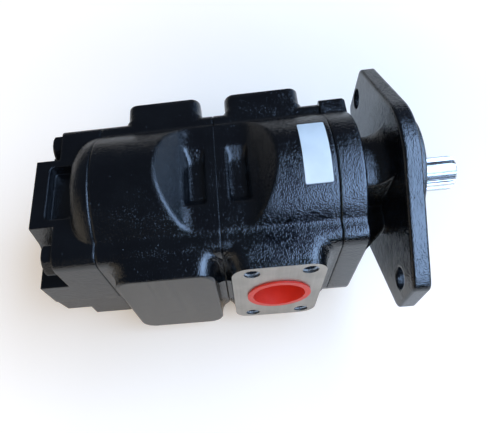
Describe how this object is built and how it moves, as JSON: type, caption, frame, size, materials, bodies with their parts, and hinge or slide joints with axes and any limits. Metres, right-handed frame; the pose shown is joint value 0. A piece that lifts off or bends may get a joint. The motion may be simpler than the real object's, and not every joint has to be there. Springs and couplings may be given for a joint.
{
  "type": "tandem gear pump",
  "caption": "Tandem hydraulic gear pump in line on a splined shaft, with an oval bolt flange, square port pads and a capped suction port.",
  "frame": {"origin": "centre of the pilot, on the mounting face of the flange", "axes": "+X along the drive shaft towards its splined end, +Z from the idler shaft to the drive shaft, -Y the side with the suction port"},
  "size_m": [0.2828, 0.1703, 0.1405],
  "materials": {
    "cover_iron": "rough casting under gloss black enamel",
    "housing_iron": "rough casting under gloss black enamel, port faces machined bare",
    "bolt_steel": "steel bolts painted over with the housings",
    "spline_steel": "bright ground steel",
    "ground_steel": "ground steel, oiled",
    "block_aluminium": "machined aluminium alloy",
    "plate_bronze": "machined bronze",
    "seal_rubber": "moulded nitrile rubber",
    "plug_red": "soft moulded plastic, semi-gloss red"
  },
  "bodies": {
    "root": {"front_cover": "cover_iron", "front_gear_housing": "housing_iron", "rear_gear_housing": "housing_iron", "rear_cover": "cover_iron", "tie_bolts": "bolt_steel", "dowel_pins": "ground_steel", "front_bearing_block": "block_aluminium", "rear_bearing_block": "block_aluminium", "front_thrust_plate": "plate_bronze", "rear_thrust_plate": "plate_bronze", "front_block_bushes": "plate_bronze", "front_web_bushes": "plate_bronze", "rear_web_bushes": "plate_bronze", "rear_block_bushes": "plate_bronze", "front_block_seal": "seal_rubber", "rear_block_seal": "seal_rubber", "front_body_seal": "seal_rubber", "mid_joint_seals": "seal_rubber", "rear_body_seal": "seal_rubber", "shaft_seal_case": "ground_steel", "shaft_seal_lip": "seal_rubber", "garter_spring": "ground_steel", "seal_retaining_ring": "ground_steel"},
    "drive_line": {"drive_gear_shaft": "spline_steel", "coupling_sleeve": "ground_steel", "rear_drive_gear": "ground_steel"},
    "front_idler": {"front_idler_gear": "ground_steel"},
    "rear_idler": {"rear_idler_gear": "ground_steel"},
    "suction_plug": {"suction_port_plug": "plug_red"},
    "front_outlet_plug": {"front_outlet_plug": "plug_red"},
    "rear_outlet_plug": {"rear_outlet_plug": "plug_red"}
  },
  "joints": [
    {"name": "drive_line_spin", "type": "hinge", "parent": "root", "child": "drive_line", "pos_m": [0, 0, 0], "axis": [1, 0, 0], "continuous": true},
    {"name": "front_idler_spin", "type": "hinge", "parent": "root", "child": "front_idler", "pos_m": [0, 0, -0.048], "axis": [1, 0, 0], "continuous": true},
    {"name": "rear_idler_spin", "type": "hinge", "parent": "root", "child": "rear_idler", "pos_m": [0, 0, -0.048], "axis": [1, 0, 0], "continuous": true},
    {"name": "suction_plug_pull", "type": "slide", "parent": "root", "child": "suction_plug", "axis": [0, -1, 0], "range_m": [0, 0.035]},
    {"name": "front_outlet_plug_pull", "type": "slide", "parent": "root", "child": "front_outlet_plug", "axis": [0, 1, 0], "range_m": [0, 0.03]},
    {"name": "rear_outlet_plug_pull", "type": "slide", "parent": "root", "child": "rear_outlet_plug", "axis": [0, 1, 0], "range_m": [0, 0.03]}
  ],
  "couplings": [
    {"joint": "front_idler_spin", "follows": "drive_line_spin", "ratio": -1},
    {"joint": "rear_idler_spin", "follows": "drive_line_spin", "ratio": -1}
  ]
}
